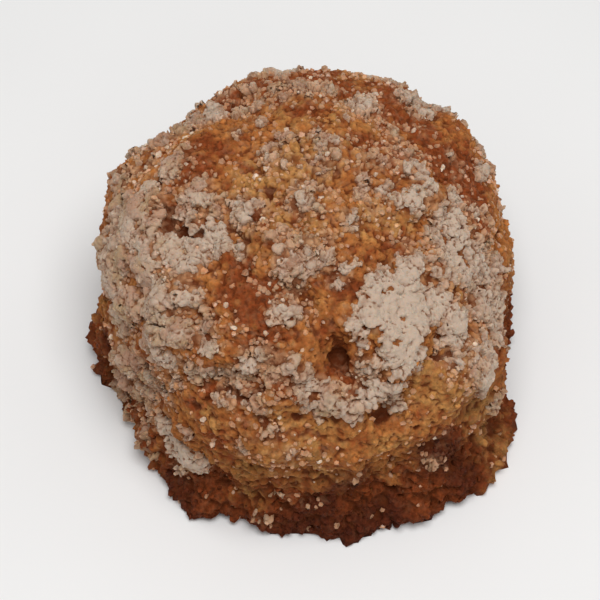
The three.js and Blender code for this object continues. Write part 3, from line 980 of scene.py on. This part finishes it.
def hull_of(points):
    """The convex shape round the points, as points and outward triangles."""
    mesh = bpy.data.meshes.new("hull")
    mesh.from_pydata(points.tolist(), [], [])
    shape = bmesh.new()
    shape.from_mesh(mesh)
    bmesh.ops.convex_hull(shape, input=shape.verts)
    bmesh.ops.triangulate(shape, faces=shape.faces)
    bmesh.ops.recalc_face_normals(shape, faces=shape.faces)
    shape.verts.index_update()
    found = np.array([v.co[:] for v in shape.verts])
    faces = np.array([[v.index for v in face.verts] for face in shape.faces])
    shape.free()
    bpy.data.meshes.remove(mesh)
    return found, faces


def ball():
    """A crumb one millimetre across."""
    points, faces = halved(*icosahedron())
    return points / np.linalg.norm(points, axis=1, keepdims=True) / 2, faces


def turns(count, draws):
    """Random turns, as matrices."""
    w, x, y, z = np.moveaxis(draws.normal(size=(count, 4)), 1, 0)
    length = np.sqrt(w * w + x * x + y * y + z * z)
    w, x, y, z = w / length, x / length, y / length, z / length
    rows = [
        [1 - 2 * (y * y + z * z), 2 * (x * y - w * z), 2 * (x * z + w * y)],
        [2 * (x * y + w * z), 1 - 2 * (x * x + z * z), 2 * (y * z - w * x)],
        [2 * (x * z - w * y), 2 * (y * z + w * x), 1 - 2 * (x * x + y * y)],
    ]
    return np.moveaxis(np.array(rows), 2, 0)


def strewn_grains(name, shape, skin, wanted, grain, material, draws, unevenness=1.0):
    """Many grains of one shape strewn on a skin and joined in one mesh, each turned, stretched and
    broken at random."""
    kind = STREWN[name]
    spots = scattered(skin, wanted, kind["spacing"] * grain, kind["most"], draws)
    count = len(spots.places)
    sizes = grain * draws.uniform(*kind["widths"], count) ** unevenness
    corners, faces = shape
    stretch = draws.uniform(*GRAIN_STRETCH, (count, 1, 3))
    grains = np.repeat(corners[None], count, axis=0)
    for _ in range(kind["breaks"]):
        way = draws.normal(size=(count, 1, 3))
        way /= np.linalg.norm(way, axis=2, keepdims=True)
        beyond = (grains * way).sum(2, keepdims=True) - draws.uniform(*GRAIN_BREAKS, (count, 1, 1))
        grains -= way * np.maximum(beyond, 0)
    grains += draws.normal(0, GRAIN_ROUGHNESS, grains.shape)
    grains = grains * stretch * sizes[:, None, None]
    grains = np.einsum("nij,nvj->nvi", turns(count, draws), grains)
    middles = spots.places + spots.normals * (sizes * kind["lift"])[:, None]
    grains += middles[:, None]
    grains[:, :, 2] = np.maximum(grains[:, :, 2], 0)
    starts = np.arange(count) * len(corners)
    all_faces = (faces[None] + starts[:, None, None]).reshape(-1, 3)
    fields = {field: np.repeat(values, len(corners)) for field, values in spots.fields.items()}
    fields["shade"] = np.repeat(draws.random(count), len(corners))
    return mesh_object(name, grains.reshape(-1, 3), all_faces, fields, kind["smooth"], material)


class Painter:
    """Adds the nodes of one material and joins them up."""

    def __init__(self, name, roughness, specular, glow=0.0):
        self.material = bpy.data.materials.new(name)
        self.material.use_nodes = True
        self.tree = self.material.node_tree
        self.shader = self.tree.nodes["Principled BSDF"]
        self.shader.inputs["Roughness"].default_value = roughness
        self.shader.inputs["Specular IOR Level"].default_value = specular
        self.shader.inputs["Subsurface Weight"].default_value = glow
        self.shader.inputs["Subsurface Radius"].default_value = GLOW_SHARES
        self.shader.inputs["Subsurface Scale"].default_value = GLOW_DEPTH * MM
        self.where = self.node("ShaderNodeTexCoord").outputs["Object"]

    def node(self, kind, **settings):
        made = self.tree.nodes.new(kind)
        for key, value in settings.items():
            setattr(made, key, value)
        return made

    def put(self, socket, value):
        if isinstance(value, bpy.types.NodeSocket):
            self.tree.links.new(value, socket)
        elif isinstance(value, (int, float)):
            socket.default_value = value
        else:
            socket.default_value = (*value, 1.0)[: len(socket.default_value)]

    def field(self, name):
        return self.node("ShaderNodeAttribute", attribute_name=name).outputs["Fac"]

    def clouds(self, size, detail=2.0):
        """Cloudy variation from 0 to 1, with clouds of about that size in millimetres."""
        made = self.node("ShaderNodeTexNoise")
        self.put(made.inputs["Vector"], self.where)
        self.put(made.inputs["Scale"], 1 / (size * MM))
        self.put(made.inputs["Detail"], detail)
        return made.outputs["Fac"]

    def cells(self, size):
        """How far each place is from the middle of its cell, with cells of about that size in
        millimetres."""
        made = self.node("ShaderNodeTexVoronoi")
        self.put(made.inputs["Vector"], self.where)
        self.put(made.inputs["Scale"], 1 / (size * MM))
        return made.outputs["Distance"]

    def ramp(self, value, low, high, start=0.0, end=1.0):
        made = self.node("ShaderNodeMapRange", interpolation_type="SMOOTHSTEP")
        names = ("Value", "From Min", "From Max", "To Min", "To Max")
        for name, given in zip(names, (value, low, high, start, end)):
            self.put(made.inputs[name], given)
        return made.outputs["Result"]

    def sum(self, *values):
        total = values[0]
        for value in values[1:]:
            made = self.node("ShaderNodeMath", operation="ADD")
            self.put(made.inputs[0], total)
            self.put(made.inputs[1], value)
            total = made.outputs[0]
        return total

    def times(self, one, other):
        made = self.node("ShaderNodeMath", operation="MULTIPLY")
        self.put(made.inputs[0], one)
        self.put(made.inputs[1], other)
        return made.outputs[0]

    def mix(self, share, first, second, blend="MIX"):
        made = self.node("ShaderNodeMix", data_type="RGBA", blend_type=blend, clamp_factor=True)
        self.put(made.inputs[0], share)
        self.put(made.inputs[6], first)
        self.put(made.inputs[7], second)
        return made.outputs[2]

    def lit(self, colour, brightness):
        """The colour, brightened or darkened by a value round 1."""
        made = self.node("ShaderNodeVectorMath", operation="SCALE")
        self.put(made.inputs[0], colour)
        self.put(made.inputs["Scale"], brightness)
        return made.outputs[0]

    def bump(self, height, depth):
        """Relief too fine for the mesh, of that depth in millimetres."""
        made = self.node("ShaderNodeBump")
        self.put(made.inputs["Height"], height)
        made.inputs["Strength"].default_value = 1.0
        made.inputs["Distance"].default_value = depth * MM
        self.tree.links.new(made.outputs["Normal"], self.shader.inputs["Normal"])

    def finish(self, colour):
        self.tree.links.new(colour, self.shader.inputs["Base Color"])
        return self.material


def dough_colour(paint, crust):
    """Baked dough, golden to dark brown and mottled down to single grains, with painted shade in its creases,
    hollows, cracks and pits and towards the foot.
    """
    patches = paint.clouds(4.5)
    mottling = paint.clouds(1.3, 3.0)
    speckling = paint.clouds(0.42, 2.0)
    crumb = paint.times(paint.field("crumb"), 0.5)
    crease = paint.field("crease")
    blots = paint.times(paint.clouds(0.9, 3.0), 0.9)
    mottled = paint.sum(paint.field("golden"), paint.times(patches, 0.6), paint.times(mottling, 0.4))
    lightness = paint.sum(mottled, crumb, blots)
    colour = paint.mix(paint.ramp(lightness, 1.15, 2.0), crust.orange, crust.golden)
    redness = paint.sum(paint.field("baked"), paint.times(mottling, 1.4), paint.times(speckling, 0.6))
    # Redder in the creases between crumbs, as painted shade.
    redness = paint.sum(redness, paint.times(crumb, -1.0), paint.times(crease, 0.6))
    colour = paint.mix(paint.ramp(redness, 0.7, 1.7), colour, crust.brown)
    # Scorched dough, with painted shade in the hollows.
    burning = paint.sum(paint.field("burnt_and_shade"), paint.times(patches, 0.6), paint.times(mottling, 0.6))
    colour = paint.mix(paint.ramp(burning, 0.6, 1.9), colour, crust.dark)
    # Painted shade in the hollows and creases of the crust.
    sinking = paint.sum(paint.field("hollow_shade"), paint.times(speckling, 0.3))
    colour = paint.mix(paint.ramp(sinking, 0.2, 1.2), colour, crust.crevice_shade)
    # Painted shade in the cracks and pits.
    colour = paint.mix(paint.ramp(paint.field("deep"), 0.3, 1.0, 0.0, 0.7), colour, crust.dark)
    colour = paint.lit(colour, paint.ramp(speckling, 0.3, 0.7, 0.72, 1.22))
    # Darker towards the foot: painted shade.
    return paint.lit(colour, paint.ramp(paint.field("foot"), 0.0, 0.7, 1.0, 0.84))


def sugar_colour(paint, sugar):
    """Sugar, white where it lies thick, and tan or pink where it is thin."""
    thin = paint.mix(paint.ramp(paint.clouds(2.6, 3.0), 0.42, 0.62), sugar.pink, sugar.tan)
    share = paint.ramp(paint.sum(paint.field("white"), paint.times(paint.clouds(1.6), 0.5)), 0.35, 1.15)
    return paint.mix(share, thin, sugar.white)


def sugared_colour(paint, crust, sugar):
    """Dough that is stained and dusted in the gaps between clumps of sugar, with painted shade in those gaps
    and in its hollows.
    """
    dough = dough_colour(paint, crust)
    near = paint.field("near")
    dust = paint.sum(paint.times(near, 0.6), paint.times(paint.field("crumb"), 0.5))
    dust = paint.sum(dust, paint.times(paint.clouds(0.5, 3.0), 0.6))
    dust = paint.sum(dust, paint.times(paint.field("crease"), -0.5))
    dust = paint.sum(dust, paint.times(paint.field("dusting"), 0.45))
    colour = paint.mix(paint.ramp(dust, 0.75, 1.35, 0.0, 0.7), dough, paint.lit(sugar.honey, 0.85))
    # Painted shade in the gaps next to the clumps and in the hollows of the crust.
    gap = paint.sum(paint.times(near, 0.5), paint.field("crease"), paint.times(paint.clouds(0.7, 2.0), 0.4))
    colour = paint.mix(paint.times(near, paint.ramp(gap, 0.7, 1.4, 0.0, 0.8)), colour, crust.crevice_shade)
    return paint.mix(paint.ramp(paint.field("hollow_shade"), 0.25, 1.0, 0.0, 0.85), colour, crust.crevice_shade)


def crust_material(crust, sugar):
    paint = Painter("baked crust", 0.7, 0.05, glow=0.25)
    colour = sugared_colour(paint, crust, sugar)
    veil = paint.times(paint.sum(paint.field("dusting"), 0.1), paint.ramp(paint.clouds(0.9, 3.0), 0.45, 0.68))
    bare = paint.ramp(paint.field("cover"), 0.35, 0.65, 1.0, 0.0)
    colour = paint.mix(paint.times(paint.times(veil, bare), 0.4), colour, sugar.honey)
    paint.bump(paint.sum(paint.clouds(0.35, 3.0), paint.times(paint.cells(0.42), -0.8)), 0.12)
    return paint.finish(colour)


def clump_colour(paint, sugar):
    """Sugar in clumps, brown in the creases and in a few pinholes: partly the crust under thin sugar, partly
    painted shade.
    """
    stain_and_shade = paint.sum(paint.field("crease"), paint.times(paint.field("hollow_shade"), 0.9))
    stain_and_shade = paint.sum(stain_and_shade, paint.times(paint.field("packed"), -0.75))
    stain_and_shade = paint.sum(stain_and_shade, paint.times(paint.clouds(0.8, 3.0), 0.7))
    lit = paint.mix(paint.times(paint.field("thin"), 0.65), sugar_colour(paint, sugar), sugar.honey)
    colour = paint.mix(paint.ramp(stain_and_shade, 0.6, 1.6, 0.0, 0.9), lit, sugar.stain_and_shade)
    # Pinholes, painted brown as the crust under them and as painted shade.
    holes = paint.ramp(paint.cells(1.1), 0.10, 0.2, 1.0, 0.0)
    holes = paint.times(holes, paint.ramp(paint.clouds(1.7), 0.55, 0.6))
    return paint.mix(paint.times(holes, 0.8), colour, sugar.stain_and_shade)


def clump_material(sugar):
    paint = Painter("sugar clumps", 0.6, 0.15, glow=0.4)
    colour = clump_colour(paint, sugar)
    paint.bump(paint.sum(paint.clouds(0.3, 3.0), paint.times(paint.cells(0.36), -0.6)), 0.09)
    return paint.finish(colour)


def clump_sugar_material(sugar):
    paint = Painter("clumped sugar", 0.45, 0.25, glow=0.5)
    colour = paint.lit(clump_colour(paint, sugar), paint.ramp(paint.field("shade"), 0.0, 1.0, 0.9, 1.16))
    return paint.finish(colour)


def loose_sugar_material(crust, sugar):
    """Clear grains, which take much of their colour from the dough under them, and a few painted glints."""
    paint = Painter("loose sugar", 0.3, 0.35, glow=0.5)
    under = sugared_colour(paint, crust, sugar)
    clear = paint.mix(0.65, paint.lit(under, 1.35), sugar.honey)
    milky = paint.sum(paint.field("shade"), paint.times(paint.field("dusting"), 0.8))
    milky = paint.ramp(milky, 0.6, 1.7, 0.0, 0.9)
    colour = paint.mix(milky, clear, sugar_colour(paint, sugar))
    # A few crystals painted near white: painted glints.
    painted_glint = paint.ramp(paint.field("shade"), 0.93, 0.97, 0.0, 0.8)
    colour = paint.mix(painted_glint, colour, paint.lit(sugar.white, 1.45))
    return paint.finish(paint.lit(colour, paint.ramp(paint.clouds(0.7), 0.3, 0.7, 0.78, 1.2)))


def dough_grain_material(crust, sugar):
    paint = Painter("dough grains", 0.5, 0.07, glow=0.35)
    dough = dough_colour(paint, crust)
    colour = paint.lit(dough, paint.ramp(paint.field("shade"), 0.0, 1.0, 0.7, 1.25))
    sugared = paint.sum(paint.times(paint.field("shade"), 0.7), paint.times(paint.field("dusting"), 1.4))
    sugared = paint.sum(sugared, paint.times(paint.field("foot"), -0.4))
    sugared = paint.sum(sugared, paint.times(paint.field("near"), 0.5))
    colour = paint.mix(paint.ramp(sugared, 0.7, 1.6, 0.0, 0.85), colour, sugar.honey)
    paint.bump(paint.clouds(0.2, 2.0), 0.05)
    return paint.finish(colour)


def crumb_material(crust, sugar):
    paint = Painter("crumbs", 0.7, 0.06, glow=0.25)
    dough = dough_colour(paint, crust)
    colour = paint.lit(dough, paint.ramp(paint.field("shade"), 0.0, 1.0, 0.8, 1.3))
    dusted = paint.sum(paint.clouds(0.5, 3.0), paint.times(paint.field("dusting"), 0.5))
    dusted = paint.ramp(dusted, 0.65, 0.95)
    colour = paint.mix(paint.times(dusted, 0.7), colour, sugar.tan)
    paint.bump(paint.clouds(0.3, 3.0), 0.15)
    return paint.finish(colour)


def finish_piece(made, stands_for_solid=False):
    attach(made, BODY)
    if stands_for_solid:
        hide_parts(SOLID)


def finished(name):
    """The piece of that name, which has to be made before what lies on it."""
    made = bpy.data.objects.get(name)
    if made is None:
        raise RuntimeError(f"{name} is made first")
    return made


class COOKIE_OT_crust(bpy.types.Operator):
    """Makes the crust: the solid's form with finer relief and its baked colours"""

    bl_idname = "cookie.crust"
    bl_label = "Crust"

    def execute(self, context):
        crust = context.scene.cookie_crust
        skin = crust_skin(crust)
        material = crust_material(crust, context.scene.cookie_sugar)
        made = mesh_object("crust", skin.points, skin.faces, skin.fields, True, material)
        finish_piece(made, stands_for_solid=True)
        return {"FINISHED"}


class COOKIE_OT_sugar_clumps(bpy.types.Operator):
    """Lays the sugar clumps over the crust"""

    bl_idname = "cookie.sugar_clumps"
    bl_label = "Sugar clumps"

    def execute(self, context):
        skin = sugar_skin(skin_of(finished("crust")), context.scene.cookie_crust)
        material = clump_material(context.scene.cookie_sugar)
        made = mesh_object("sugar_clumps", skin.points, skin.faces, skin.fields, True, material)
        finish_piece(made)
        return {"FINISHED"}


class COOKIE_OT_clump_sugar(bpy.types.Operator):
    """Packs grains of sugar on the clumps"""

    bl_idname = "cookie.clump_sugar"
    bl_label = "Clumped sugar"

    def execute(self, context):
        sugar = context.scene.cookie_sugar
        draws = np.random.default_rng(sugar.seed)
        skin = skin_of(finished("sugar_clumps"))
        wanted = CLUMPED_DENSITY * smooth_step(skin.fields["lies"], 0.6, 1.0)
        wanted *= 1 - 0.5 * skin.fields["crease"]
        grain = sugar.clump_grain / MM
        material = clump_sugar_material(sugar)
        made = strewn_grains("clumped_sugar", icosahedron(), skin, wanted, grain, material, draws)
        finish_piece(made)
        return {"FINISHED"}


class COOKIE_OT_loose_sugar(bpy.types.Operator):
    """Strews loose crystals of sugar over the dough"""

    bl_idname = "cookie.loose_sugar"
    bl_label = "Loose sugar"

    def execute(self, context):
        sugar = context.scene.cookie_sugar
        draws = np.random.default_rng(sugar.seed + 1)
        skin = skin_of(finished("crust"))
        fields = skin.fields
        bare = 1 - 0.7 * smooth_step(fields["cover"], 0.4, 0.7)
        groups = smooth_step(lumps(skin.points, 2.2, 8.8), -0.6, 0.4)
        wanted = LOOSE_DENSITY_UNDUSTED + LOOSE_DENSITY * fields["dusting"] ** 2.2 * groups
        wanted = wanted * bare * (1 - 0.5 * fields["foot"])
        wanted *= 1 - smooth_step(fields["deep"], 0.2, 0.6)
        grain = sugar.loose_grain / MM
        material = loose_sugar_material(context.scene.cookie_crust, sugar)
        made = strewn_grains("loose_sugar", trimmed_cube(), skin, wanted, grain, material, draws)
        finish_piece(made)
        return {"FINISHED"}


class COOKIE_OT_dough_grains(bpy.types.Operator):
    """Roughens the bare dough with grains that baked on to it"""

    bl_idname = "cookie.dough_grains"
    bl_label = "Dough grains"

    def execute(self, context):
        crumbs = context.scene.cookie_crumbs
        draws = np.random.default_rng(crumbs.seed)
        skin = skin_of(finished("crust"))
        fields = skin.fields
        bare = (1 - smooth_step(fields["cover"], 0.2, 0.6)) * (1 - 0.6 * fields["hollow_shade"])
        bare *= 1 - smooth_step(fields["deep"], 0.2, 0.6)
        wanted = bare * (DOUGH_GRAIN_DENSITY - 0.4 * fields["foot"] + 1.2 * fields["near"])
        wanted = wanted * (skin.points[:, 2] > 0.4)
        grain = crumbs.dough_grain / MM
        material = dough_grain_material(context.scene.cookie_crust, context.scene.cookie_sugar)
        shape = icosahedron()
        uneven = DOUGH_GRAIN_UNEVENNESS
        made = strewn_grains("dough_grains", shape, skin, wanted, grain, material, draws, uneven)
        finish_piece(made)
        return {"FINISHED"}


class COOKIE_OT_crumbs(bpy.types.Operator):
    """Sticks crumbs of dough to the foot and along the clumps"""

    bl_idname = "cookie.crumbs"
    bl_label = "Crumbs"

    def execute(self, context):
        crumbs = context.scene.cookie_crumbs
        draws = np.random.default_rng(crumbs.seed + 1)
        skin = skin_of(finished("crust"))
        fields = skin.fields
        edge = 4 * fields["cover"] * (1 - fields["cover"])
        wanted = FOOT_CRUMB_DENSITY * fields["foot"] + EDGE_CRUMB_DENSITY * edge + CRUMB_DENSITY_ELSEWHERE
        wanted = wanted * (skin.points[:, 2] > 0.8)
        wanted *= (1 - smooth_step(fields["cover"], 0.4, 0.7)) * (1 - fields["deep"])
        material = crumb_material(context.scene.cookie_crust, context.scene.cookie_sugar)
        made = strewn_grains("crumbs", ball(), skin, wanted, crumbs.crumb / MM, material, draws)
        finish_piece(made)
        return {"FINISHED"}


def aim(made, at):
    made.rotation_mode = "QUATERNION"
    made.rotation_quaternion = (at - made.location).to_track_quat("-Z", "Y")


def area_light(name, place, at, size, power):
    lamp = bpy.data.lights.new(name, "AREA")
    lamp.shape = "DISK"
    lamp.size = size
    lamp.energy = power
    made = bpy.data.objects.new(name, lamp)
    made.location = place
    aim(made, at)
    bpy.context.scene.collection.objects.link(made)


class COOKIE_OT_stage(bpy.types.Operator):
    """Sets up the floor, the soft light and the camera"""

    bl_idname = "cookie.stage"
    bl_label = "Floor, light and camera"

    def execute(self, context):
        scene = context.scene
        stage = scene.cookie_stage
        target = Vector(CAMERA_TARGET * MM)

        paint = Painter("plain floor", 0.8, 0.2)
        tone = paint.ramp(paint.clouds(40.0), 0.3, 0.7, 0.99, 1.01)
        material = paint.finish(paint.lit(stage.floor_colour, tone))
        corners = np.array([(-1, -1, 0), (1, -1, 0), (1, 1, 0), (-1, 1, 0)]) * FLOOR_REACH
        floor = mesh_object("floor", corners, np.array([(0, 1, 2), (0, 2, 3)]), {}, False, material)

        area_light("key light", Vector(KEY_LIGHT_PLACE), target, KEY_LIGHT_WIDTH, stage.key_power)
        world = bpy.data.worlds.new("soft sky")
        world.use_nodes = True
        sky = world.node_tree.nodes["Background"]
        sky.inputs["Color"].default_value = SKY_COLOUR
        sky.inputs["Strength"].default_value = stage.sky_strength
        scene.world = world

        lens = bpy.data.cameras.new("camera")
        lens.lens = LENS
        lens.sensor_width = SENSOR_WIDTH
        lens.clip_start = NEAREST_SEEN
        lens.clip_end = FURTHEST_SEEN
        camera = bpy.data.objects.new("camera", lens)
        back = Vector((0, -math.cos(stage.camera_elevation), math.sin(stage.camera_elevation)))
        camera.location = target + back * stage.camera_distance
        aim(camera, target)
        scene.collection.objects.link(camera)
        scene.camera = camera
        scene.view_settings.view_transform = "Standard"
        return {"FINISHED"}


class COOKIE_PT_panel(bpy.types.Panel):
    """The steps that build the cookie"""

    bl_label = "Lard Cookie"
    bl_idname = "COOKIE_PT_panel"
    bl_space_type = "VIEW_3D"
    bl_region_type = "UI"
    bl_category = "Cookie"

    def draw(self, context):
        for step in STEPS:
            self.layout.operator(step.bl_idname)


SETTINGS = {
    "cookie_crust": CrustSettings,
    "cookie_sugar": SugarSettings,
    "cookie_crumbs": CrumbSettings,
    "cookie_stage": StageSettings,
}
STEPS = (
    COOKIE_OT_crust,
    COOKIE_OT_sugar_clumps,
    COOKIE_OT_clump_sugar,
    COOKIE_OT_loose_sugar,
    COOKIE_OT_dough_grains,
    COOKIE_OT_crumbs,
    COOKIE_OT_stage,
)


def register():
    for made in (*SETTINGS.values(), *STEPS, COOKIE_PT_panel):
        bpy.utils.register_class(made)
    for name, group in SETTINGS.items():
        setattr(bpy.types.Scene, name, PointerProperty(type=group))


def unregister():
    for name in SETTINGS:
        delattr(bpy.types.Scene, name)
    for made in (COOKIE_PT_panel, *reversed(STEPS), *reversed(SETTINGS.values())):
        bpy.utils.unregister_class(made)


def main():
    register()
    bpy.ops.cookie.crust()
    bpy.ops.cookie.sugar_clumps()
    bpy.ops.cookie.clump_sugar()
    bpy.ops.cookie.loose_sugar()
    bpy.ops.cookie.dough_grains()
    bpy.ops.cookie.crumbs()
    bpy.ops.cookie.stage()


if __name__ == "__main__":
    main()
